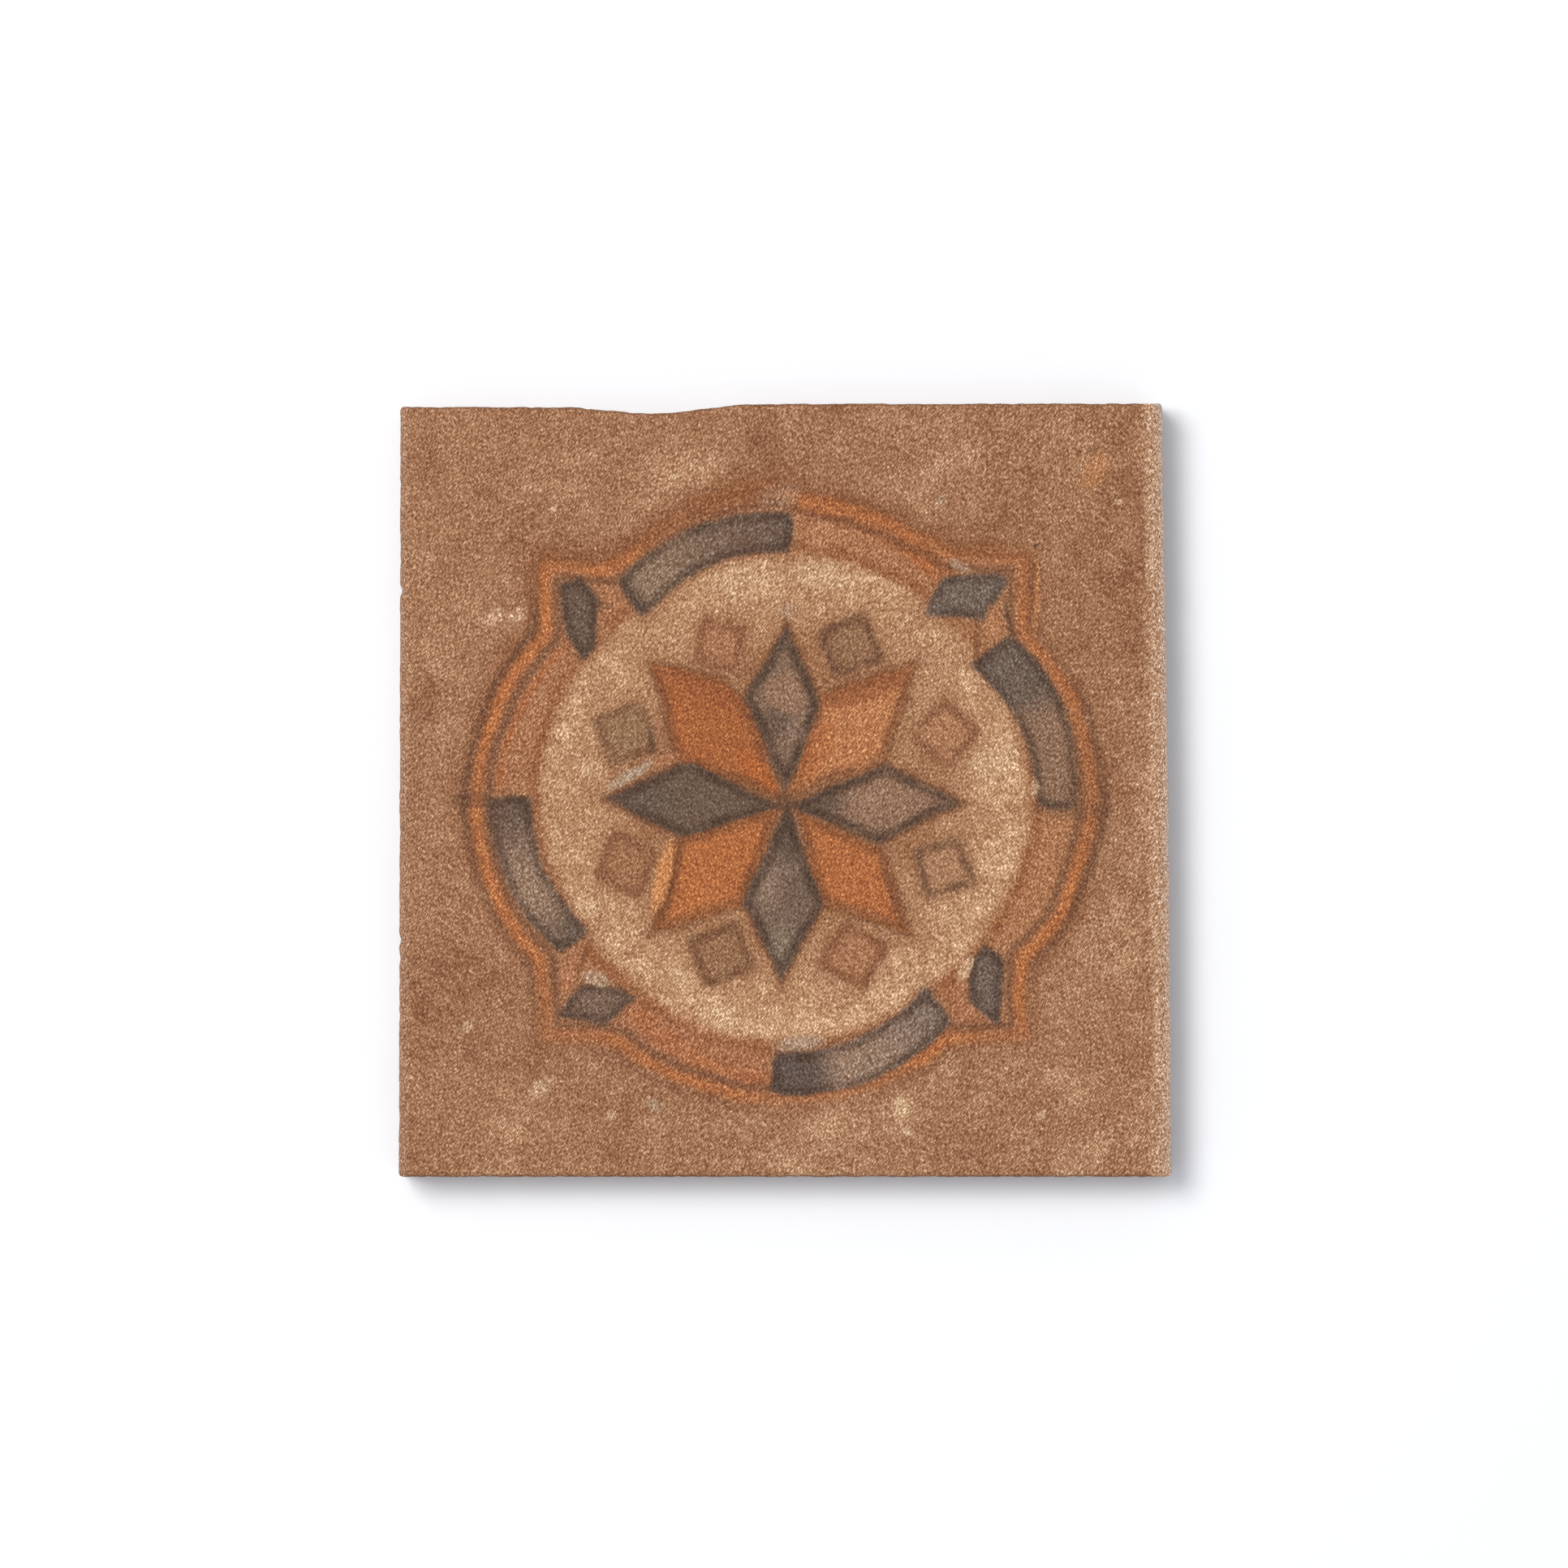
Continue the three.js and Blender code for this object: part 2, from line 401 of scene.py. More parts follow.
def plug(value, socket):
    if isinstance(value, Field):
        tree.links.new(value.socket, socket)
    else:
        socket.default_value = value


def maths(operation, *values):
    node = tree.nodes.new("ShaderNodeMath")
    node.operation = operation
    for value, socket in zip(values, node.inputs):
        plug(value, socket)
    return Field(node.outputs[0])


def smaller(one, other):
    return maths("MINIMUM", one, other)


def larger(one, other):
    return maths("MAXIMUM", one, other)


# %% [markdown]
# Two words turn distances into paint: fade makes a soft border, and stroke makes a soft line. A third lays
# one colour over another. The last makes a pigment from the colour that the eye sees on the finished tile,
# which is the pigment's own colour made stronger by the light and the pale grain, plus a faint sheen.

# %% Soft borders, strokes and layers
LIGHT_AND_GRAIN = (1.165, 1.245, 1.385)
SHEEN = 0.016


def fade(field, start, end, most=1.0):
    """Goes smoothly from 0 where the field is at start to the most where it is at end."""
    node = tree.nodes.new("ShaderNodeMapRange")
    node.interpolation_type = "SMOOTHSTEP"
    for value, socket in zip((field, start, end, 0.0, most), node.inputs):
        plug(value, socket)
    return Field(node.outputs[0])


def stroke(distance, half_width, softness):
    """1 on a line and 0 away from it, for a distance that is 0 along its middle."""
    return fade(abs(distance), half_width + softness, max(half_width - softness, 0))


def lay(under, over, cover=1.0, blend_type="MIX"):
    """A layer of paint over another, where cover is 1."""
    node = tree.nodes.new("ShaderNodeMix")
    node.data_type = "RGBA"
    node.blend_type = blend_type
    for value, socket in ((cover, node.inputs[0]), (under, node.inputs[6]), (over, node.inputs[7])):
        plug(value, socket)
    return Field(node.outputs[2])


def pigment(*seen):
    """The share of red, green and blue light to give back, for a colour seen as these parts of 255."""
    shares = [((part / 255 + 0.055) / 1.055) ** 2.4 for part in seen]
    return (*((share - SHEEN) / level for share, level in zip(shares, LIGHT_AND_GRAIN)), 1.0)


# %% [markdown]
# The position on the tile is read in millimetres from the object's own coordinates, so the painting
# belongs to the tile. Speckles, strokes and washes are noise, which can be drawn out along a diagonal.

# %% Position and noise
coordinates = tree.nodes.new("ShaderNodeTexCoord")
object_place = coordinates.outputs["Object"]


def split(socket, scale):
    node = tree.nodes.new("ShaderNodeSeparateXYZ")
    tree.links.new(socket, node.inputs[0])
    return [Field(output) * scale for output in node.outputs]


def noise_node(period, detail=2.0, roughness=0.5, turned=0.0, stretch=1.0, shift=0.0):
    """Noise with features of this size in millimetres, drawn out by stretch along a turned direction."""
    mapping = tree.nodes.new("ShaderNodeMapping")
    mapping.vector_type = "TEXTURE"
    mapping.inputs["Location"].default_value = (shift, shift, shift)
    mapping.inputs["Rotation"].default_value = (0, 0, math.radians(turned))
    mapping.inputs["Scale"].default_value = (period * stretch * MM, period * MM, period * MM)
    tree.links.new(object_place, mapping.inputs["Vector"])
    node = tree.nodes.new("ShaderNodeTexNoise")
    tree.links.new(mapping.outputs[0], node.inputs["Vector"])
    node.inputs["Scale"].default_value = 1.0
    node.inputs["Detail"].default_value = detail
    node.inputs["Roughness"].default_value = roughness
    return node


def noise_field(*args, **options):
    """Noise around 0, mostly between -1 and 1."""
    return (Field(noise_node(*args, **options).outputs[0]) - 0.5) * 3.0


tile_x, tile_y, tile_z = split(object_place, 1 / MM)

# %% [markdown]
# No line of the painting is true, because it was drawn by hand. The point that each shape is measured
# from is first moved a little by a slow noise for the unsteady hand, and by a quick one for the way that
# colour creeps into the grain. From here on, x and y are millimetres from the middle of the medallion.

# %% The unsteady hand
HAND_PERIOD = 8.0
HAND_REACH = 1.0
CREEP_PERIOD = 1.1
CREEP_REACH = 0.5
MEDALLION_X = -0.05
MEDALLION_Y = -0.97

hand_x, hand_y, _ = split(noise_node(HAND_PERIOD, detail=1.0).outputs[1], HAND_REACH)
creep_x, creep_y, _ = split(noise_node(CREEP_PERIOD, detail=1.0).outputs[1], CREEP_REACH)
x = tile_x + hand_x + creep_x - (MEDALLION_X + HAND_REACH / 2 + CREEP_REACH / 2)
y = tile_y + hand_y + creep_y - (MEDALLION_Y + HAND_REACH / 2 + CREEP_REACH / 2)
from_middle = maths("SQRT", x * x + y * y)
direction = maths("FRACT", maths("ARCTAN2", y, x) * (1 / (2 * math.pi)))

# %% [markdown]
# More words measure the drawing. An even slope gives the distance to a straight line, and several of them
# together give a shape with corners. A ramp over the direction gives each side of the medallion its own
# colour or strength, because the painter's hand was heavier on some sides than on others. The last word
# keeps a layer of paint between two directions.

# %% Straight lines, shapes with corners, and ramps round the medallion
CORNER_SOFTNESS = 0.9
FRAME_SOFTNESS = 1.6


def slope(toward, place=(0.0, 0.0), steepness=1.0):
    """Distance past a line through a place, for a line that faces toward a direction in degrees."""
    out_x = math.cos(math.radians(toward)) * steepness
    out_y = math.sin(math.radians(toward)) * steepness
    along_y = maths("MULTIPLY_ADD", y, out_y, -(place[0] * out_x + place[1] * out_y))
    return maths("MULTIPLY_ADD", x, out_x, along_y)


def rounded_larger(one, other):
    return maths("SMOOTH_MAX", one, other, CORNER_SOFTNESS)


def shape(*corners):
    """Distance to a convex shape with softened corners, given anticlockwise: negative inside it."""
    sides = []
    for (x0, y0), (x1, y1) in zip(corners, corners[1:] + corners[:1]):
        outward = math.degrees(math.atan2(x0 - x1, y1 - y0))
        sides.append(slope(outward, (x0, y0)))
    return reduce(rounded_larger, sides)


def round_the_middle(stops, interpolation="EASE"):
    """A colour for each direction, from pairs of degrees and colour that go once round from 0 to 360."""
    node = tree.nodes.new("ShaderNodeValToRGB")
    node.color_ramp.interpolation = interpolation
    tree.links.new(direction.socket, node.inputs[0])
    elements = node.color_ramp.elements
    elements.remove(elements[1])
    elements[0].position = stops[0][0] / 360
    elements[0].color = stops[0][1]
    for degrees, colour in stops[1:]:
        elements.new(degrees / 360).color = colour
    return Field(node.outputs[0])


def colours_round(table, interpolation="CONSTANT"):
    """The ramp for a table of degrees and seen colours."""
    return round_the_middle([(at, pigment(*colour)) for at, colour in table], interpolation)


def within(start, end):
    """1 between two directions less than half a turn apart, and 0 outside them."""
    return fade(larger(slope(start - 90), slope(end + 90)), 0.5, -0.5)


# %% [markdown]
# ## The drawing
# The medallion is a traditional one: a star of eight lozenges, eight small squares round it, and a barbed
# frame. The frame is four round lobes with the corners of a square standing out between them. Folding the
# plane along its diagonals leaves one lobe to measure, and the square is a plain distance from the axes.

# %% The frame
LOBE_OFFSET = 11.05
LOBE_RADIUS = 28.75
BARB_REACH = 30.9
DISC_RADIUS = 32.5
DISC_LOBING = 0.2

fold_long = larger(abs(x), abs(y))
fold_short = smaller(abs(x), abs(y))
lobe_x = fold_long - LOBE_OFFSET
lobes = maths("SQRT", lobe_x * lobe_x + fold_short * fold_short) - LOBE_RADIUS
outline = maths("SMOOTH_MIN", lobes, fold_long - BARB_REACH, FRAME_SOFTNESS)
disc_round = (from_middle - DISC_RADIUS) * (1 - DISC_LOBING)
disc_edge = disc_round + (lobes + (LOBE_OFFSET + LOBE_RADIUS - DISC_RADIUS)) * DISC_LOBING
print("frame reaches", round(LOBE_OFFSET + LOBE_RADIUS, 1), "mm from its middle")

# %% The star of lozenges
DARK_LOZENGES = (
    shape((0.8, -1.0), (12.3, -5.8), (22.8, -0.8), (12.8, 4.5)),
    shape((0.0, 1.0), (4.7, 12.2), (0.1, 22.3), (-5.2, 12.8)),
    shape((-0.8, -1.2), (-12.2, 4.8), (-23.1, 0.0), (-13.2, -5.2)),
    shape((0.2, -1.0), (-5.5, -13.6), (-0.5, -23.6), (5.0, -13.8)),
)
RUST_LOZENGES = (
    shape((0.6, 0.6), (12.8, 4.9), (16.8, 17.3), (4.9, 13.3)),
    shape((-0.8, 0.4), (-5.3, 12.4), (-8.2, 15.5), (-17.2, 17.3), (-13.9, 5.2)),
    shape((-1.3, -1.7), (-13.8, -5.6), (-17.0, -17.2), (-5.6, -13.8)),
    shape((1.8, -2.0), (5.0, -13.7), (15.9, -17.6), (12.9, -6.9)),
)
dark_star = reduce(smaller, DARK_LOZENGES)
rust_star = reduce(smaller, RUST_LOZENGES)


# %% The small squares
SQUARE_SOFTNESS = 1.6
# Place, half the side, and turn in degrees, anticlockwise from the right
SQUARES = (
    ((20.8, 8.3), 3.5, 46), ((8.5, 19.6), 3.4, 21), ((-8.5, 19.9), 3.1, -12), ((-20.6, 8.3), 3.4, 20),
    ((-20.6, -8.6), 3.4, -25), ((-8.3, -20.3), 3.5, 20), ((8.9, -20.4), 3.4, -30), ((20.6, -9.1), 3.4, 19),
)


def square(place, half_side, turn):
    across, along = abs(slope(turn, place)), abs(slope(turn + 90, place))
    return maths("SMOOTH_MAX", across, along, SQUARE_SOFTNESS) - half_side


squares = reduce(smaller, [square(*figures) for figures in SQUARES])

# %% The bars and the corner leaves
# Start and end in degrees, and the distances of the outer and the inner side from the lobes at each
BARS = (
    (-2.1, 35.6, (-1.9, -0.8), (-7.1, -7.2)), (88.6, 128.0, (-2.9, -1.1), (-8.0, -6.3)),
    (180.0, 214.6, (-1.3, -1.8), (-6.7, -6.1)), (267.4, 306.8, (-1.3, -0.7), (-6.8, -6.1)),
)
BAR_LENGTH = 23.0
BAR_SOFTNESS = 1.8


def bar(start, end, outer_sides, inner_sides):
    before = slope(start - 90)
    along = before * (-1 / BAR_LENGTH)
    outer, inner = (along * (last - first) + first for first, last in (outer_sides, inner_sides))
    across = larger(lobes - outer, inner - lobes)
    return maths("SMOOTH_MAX", across, larger(before, slope(end + 90)), BAR_SOFTNESS)


bars = reduce(smaller, [bar(*figures) for figures in BARS])
leaves = reduce(smaller, [
    shape((28.1, 29.0), (20.7, 28.5), (18.2, 23.7), (25.8, 23.2), (29.0, 28.0)),
    shape((-26.4, 28.5), (-29.1, 27.8), (-28.6, 21.6), (-26.2, 17.8), (-24.7, 19.4), (-24.2, 25.8)),
    shape((-29.3, -28.3), (-23.4, -29.7), (-19.2, -26.0), (-21.4, -24.6), (-26.5, -24.2)),
    shape((25.7, -19.1), (24.0, -21.5), (24.0, -26.4), (27.7, -29.6), (28.4, -21.3)),
])
print("drawing:", len(tree.nodes), "nodes")

# %% [markdown]
# ## The colours
# The painter worked from the ground up: a brown ground, a pale disc, the rust line with a thin dark line
# on each side, and then the shapes, each filled with a wash and edged with a soft dark line. The layers
# here follow that order.

# %% The ground
GROUND = pigment(166, 121, 90)
GROUND_DEEP = pigment(143, 98, 69)
GROUND_PALE = pigment(190, 147, 114)
TONE_SLOPE = 0.002
TONE_LIFT = 0.03

slow = noise_field(15.0, detail=2.0)
cloud = noise_field(5.0, detail=2.0, roughness=0.6, shift=0.3)
small = noise_field(1.5, detail=2.0, roughness=0.6, shift=0.7)
wash = noise_field(3.2, detail=1.0, shift=1.1)
tone = slow * 0.7 + cloud * 0.7 + small * 0.5 - tile_y * TONE_SLOPE + TONE_LIFT
picture = lay(GROUND, GROUND_PALE, fade(tone, 0.0, 0.95))
picture = lay(picture, GROUND_DEEP, fade(tone, 0.0, -0.9))

# %% [markdown]
# The line of the frame is the liveliest part. It drifts off its true place by up to a millimetre and a
# half, fades to a haze in places, and is darkest outside on the left and right. A table of strengths by
# direction holds that. Its three numbers share one ramp, as the red, green and blue of a colour.

# %% How the frame's line was drawn
DRIFT_REACH = 1.6
# Direction in degrees, drift outwards in millimetres, strength of the rust line and of the dark one
FRAME_HAND = (
    (0, 0.0, 0.5, 1.0), (10, 0.0, 0.65, 0.7), (30, 0.2, 0.6, 0.4), (40, 0.0, 0.55, 0.3),
    (46, 0.0, 0.2, 0.05), (53, 0.3, 0.25, 0.1), (58, 0.4, 0.6, 0.2), (66, -0.8, 0.5, 0.3),
    (85, -1.4, 0.5, 0.2), (91, -0.2, 0.1, 0.1),
    (114, -0.4, 0.1, 0.15), (124, -0.3, 0.9, 0.3), (129, -1.5, 0.9, 0.2), (134, -1.0, 0.45, 0.1),
    (137, 0.1, 0.9, 0.3), (148, 0.1, 1.0, 0.9), (165, -0.2, 1.0, 0.9), (180, 0.1, 0.8, 1.0),
    (195, 0.4, 0.95, 0.6), (213, 0.6, 0.9, 0.5), (224, 0.0, 0.3, 0.15), (231, 0.4, 0.35, 0.1),
    (237, 0.8, 0.85, 0.3), (258, -0.6, 0.8, 0.3), (268, -0.6, 0.35, 0.1), (290, -0.4, 0.4, 0.1),
    (300, 0.3, 0.95, 0.2), (313, 0.2, 0.3, 0.05), (318, -0.5, 0.85, 0.1), (332, 0.1, 1.0, 0.65),
    (350, -0.3, 0.9, 0.9), (360, 0.0, 0.5, 1.0),
)
strengths = [(row[0], (0.5 + row[1] / (2 * DRIFT_REACH), row[2], row[3], 1.0)) for row in FRAME_HAND]
drift, rust_strength, dark_strength = split(round_the_middle(strengths).socket, 1.0)
line = outline - (drift - 0.5) * (2 * DRIFT_REACH)

# %% The frame, the ring and the pale disc
RUST = pigment(197, 124, 76)
RUST_BAND = pigment(178, 107, 65)
RUST_HAZE = pigment(147, 93, 61)
DARK_LINE = pigment(108, 76, 58)
DISC = pigment(183, 139, 105)
DISC_PALE = pigment(212, 171, 134)
DISC_BROWN = pigment(158, 112, 80)
RING_FILLS = (
    (0, (175, 124, 89)), (45, (174, 121, 87)), (135, (170, 119, 86)), (225, (172, 117, 84)),
    (315, (176, 124, 89)),
)
HAZE_HAND = (
    (0, 0.5), (50, 0.8), (90, 1.0), (125, 0.9), (160, 0.8), (200, 0.6), (240, 0.25), (300, 0.3),
    (340, 0.7), (360, 0.5),
)
# Start and end in degrees, distance of the middle from the lobes, half the width, cover
RUST_BANDS = ((52, 87.5, -1.7, 1.4, 0.8), (143, 179.5, -2.7, 0.3, 0.7), (230, 267, -3.2, 1.1, 0.45))

haze_strengths = round_the_middle([(at, (much, much, much, 1.0)) for at, much in HAZE_HAND])
haze_strength, _, _ = split(haze_strengths.socket, 1.0)
haze = fade(line + cloud * 0.8, 4.4, 0.2) * haze_strength
picture = lay(picture, RUST_HAZE, haze * 0.85)
picture = lay(picture, colours_round(RING_FILLS), fade(line, 0.3, -0.4))
for start, end, middle, half_width, cover in RUST_BANDS:
    band = stroke(lobes - middle, half_width, 0.6) * within(start, end)
    picture = lay(picture, RUST_BAND, band * fade(wash, -1.6, 0.4) * cover)
picture = lay(picture, RUST_HAZE, stroke(line, 1.2, 0.9) * (rust_strength * 0.5 + 0.15))
picture = lay(picture, DARK_LINE, stroke(line - 1.55, 0.4, 0.7) * dark_strength * 0.75)
picture = lay(picture, DARK_LINE, stroke(line + 1.5, 0.35, 0.7) * 0.6)
picture = lay(picture, RUST, stroke(line, 0.5, 0.7) * rust_strength * fade(wash + small, -2.0, 0.8) * 0.9)
disc_wash = fade(from_middle, 17.0, 30.0) + cloud * 0.5 + x * 0.003 - y * 0.005
disc = lay(DISC_BROWN, DISC, fade(disc_wash, -0.35, 0.5))
disc = lay(disc, DISC_PALE, fade(disc_wash + small * 0.8, 0.6, 1.6))
disc_cover = fade(disc_edge, 0.5, -2.3)
picture = lay(picture, disc, disc_cover)
picture = lay(picture, RUST_HAZE, stroke(disc_edge - 0.1, 0.4, 1.0) * fade(wash + slow, -1.4, 0.4) * 0.75)

# %% [markdown]
# Each shape is filled with its own wash and edged just inside its border. The line that edges it is
# heavier in some places than in others, so its strength follows the same slow noise as the washes.

# %% Filling and edging
SOOT = pigment(84, 65, 54)
EARTH = pigment(122, 80, 56)
EDGE_SOFTNESS = 0.6

edge_hand = fade(wash, -1.6, 0.5)


def edged(under, figure, fill, edge, fill_cover=1.0, edge_width=0.45, edge_cover=0.8):
    """A shape filled with a wash, with a soft line just inside its border."""
    filled = lay(under, fill, fade(figure, 0.45, -0.4) * fill_cover)
    return lay(filled, edge, stroke(figure + edge_width, edge_width, EDGE_SOFTNESS) * edge_hand * edge_cover)


def patch(place, half_length, half_width, turn, cover):
    """The cover in the middle of a soft oval blotch, and 0 outside it."""
    along = slope(turn, place, 1 / half_length)
    across = slope(turn + 90, place, 1 / half_width)
    return fade(maths("MULTIPLY_ADD", along, along, across * across), 1.7, 0.15, cover)


def washed(under, washes, inside):
    """Soft blotches of colour laid within a shape, where inside is 1."""
    for place, half_length, half_width, turn, colour, cover in washes:
        covered = patch(place, half_length, half_width, turn, cover) * inside
        under = lay(under, pigment(*colour), covered)
    return under


# %% The squares and the rust lozenges
SQUARE_FILLS = (
    (0, (176, 126, 93)), (45, (150, 113, 85)), (90, (173, 122, 90)), (135, (150, 116, 87)),
    (180, (162, 114, 83)), (225, (151, 112, 82)), (270, (171, 120, 88)), (315, (174, 131, 99)),
)
SQUARE_EDGES = (
    (0, (140, 94, 68)), (45, (116, 80, 60)), (90, (140, 92, 66)), (135, (134, 95, 70)),
    (180, (140, 95, 69)), (225, (122, 84, 61)), (270, (134, 88, 63)), (315, (110, 77, 58)),
)
RUST_FILLS = ((0, (188, 127, 86)), (90, (171, 104, 64)), (180, (181, 112, 69)), (270, (180, 112, 70)))
# Place, half length, half width, turn, colour and cover of the heavier washes along their sides
RUST_WASHES = (
    ((10.6, 14.1), 6.4, 1.5, 17, (150, 92, 61), 0.75),
    ((-11.2, 14.4), 6.2, 1.5, 158, (158, 95, 62), 0.75),
    ((-14.9, -11.2), 6.4, 1.0, 74, (126, 81, 56), 0.8),
    ((14.2, -11.5), 5.6, 0.9, 108, (140, 92, 65), 0.65),
    ((10.0, -15.1), 4.5, 1.0, 160, (150, 100, 70), 0.5),
    ((-10.5, -14.8), 5.0, 1.0, 14, (158, 103, 68), 0.5),
    ((4.0, 6.0), 5.0, 1.6, 66, (172, 100, 58), 0.5),
    ((-3.4, 3.4), 3.6, 1.2, 140, (190, 106, 58), 0.5),
)

picture = lay(picture, DISC_BROWN, fade(squares, 1.9, 0.0) * 0.4)
square_fill = colours_round(SQUARE_FILLS)
square_edge = colours_round(SQUARE_EDGES)
picture = edged(picture, squares, square_fill, square_edge, 0.85, 0.5, 0.9)
picture = lay(picture, DISC_BROWN, fade(smaller(dark_star, rust_star), 2.6, 0.0) * 0.55)
picture = lay(picture, EARTH, fade(smaller(dark_star, rust_star), 1.0, 0.1) * 0.65)
picture = edged(picture, rust_star, colours_round(RUST_FILLS), EARTH, edge_width=0.4, edge_cover=0.75)
picture = washed(picture, RUST_WASHES, fade(rust_star, 0.6, -0.2))

# %% The dark lozenges, the bars and the leaves
DARK_FILLS = (
    (0, (140, 109, 88)), (45, (134, 107, 88)), (135, (114, 93, 78)), (225, (128, 105, 89)),
    (315, (140, 109, 88)),
)
BAR_FILLS = (
    (16, (146, 114, 91)), (24, (115, 98, 86)), (90, (115, 94, 81)), (100, (123, 99, 83)),
    (123, (148, 121, 99)), (128, (112, 92, 79)), (180, (104, 85, 73)), (200, (158, 128, 106)),
    (215, (112, 94, 81)), (275, (103, 88, 79)), (283, (160, 131, 110)), (306, (134, 113, 99)),
    (357, (118, 95, 80)), (360, (146, 114, 91)),
)
LEAF_FILLS = ((0, (120, 104, 92)), (90, (112, 92, 78)), (180, (128, 103, 86)), (270, (118, 100, 88)))
# Place, half length, half width, turn, colour and cover of the lighter and darker washes inside them
DARK_WASHES = (
    ((0.3, 13.6), 2.8, 3.0, 0, (162, 125, 99), 0.65),
    ((-1.2, 9.6), 2.4, 1.8, 0, (98, 81, 70), 0.55),
    ((1.7, 8.8), 1.6, 2.6, -15, (152, 124, 106), 0.5),
    ((4.8, -0.6), 3.8, 2.2, 10, (100, 83, 72), 0.75),
    ((13.2, -0.4), 5.6, 3.2, 0, (163, 127, 102), 0.55),
    ((0.6, -5.0), 3.6, 2.4, 90, (98, 82, 71), 0.65),
    ((-2.4, -11.0), 3.2, 1.9, 90, (152, 127, 108), 0.6),
    ((1.6, -12.5), 3.0, 1.6, 90, (112, 92, 78), 0.5),
    ((-0.2, -19.6), 3.0, 1.8, 90, (150, 134, 115), 0.55),
    ((-17.6, -0.4), 3.6, 1.6, 0, (108, 95, 86), 0.4),
    ((1.9, 24.4), 1.4, 0.8, 60, (112, 92, 78), 0.2),
)

inside_dark = fade(dark_star, 0.3, -0.4)
picture = lay(picture, colours_round(DARK_FILLS), inside_dark)
picture = washed(picture, DARK_WASHES, inside_dark)
picture = lay(picture, SOOT, stroke(dark_star + 0.55, 0.6, 0.6) * edge_hand * 0.9)
near_bars = fade(smaller(bars, leaves), 2.0, 0.2)
picture = lay(picture, DISC_BROWN, near_bars * fade(line, -1.0, -2.6) * 0.5)
picture = edged(picture, bars, colours_round(BAR_FILLS, "EASE"), SOOT, edge_cover=0.75)
picture = edged(picture, leaves, colours_round(LEAF_FILLS), SOOT, edge_cover=0.75)
shaded = fade(smaller(smaller(dark_star, bars), leaves), 0.2, -0.4)
picture = lay(picture, SOOT, shaded * fade(wash + small * 0.5, 0.3, 1.6) * 0.4)

# %% [markdown]
# Last come the touches that belong to no shape: strokes that ran past a line, a dry brush that left a
# pale grey edge, smudges across the frame, and pale blotches where the ground took less colour.

# %% Strokes, smudges and blotches
TINTS = {
    "cream": pigment(216, 180, 145),
    "pale grey": pigment(182, 158, 134),
    "orange": pigment(208, 143, 92),
    "pink": pigment(186, 128, 93),
    "brown": pigment(134, 88, 61),
    "dark": pigment(92, 69, 56),
}
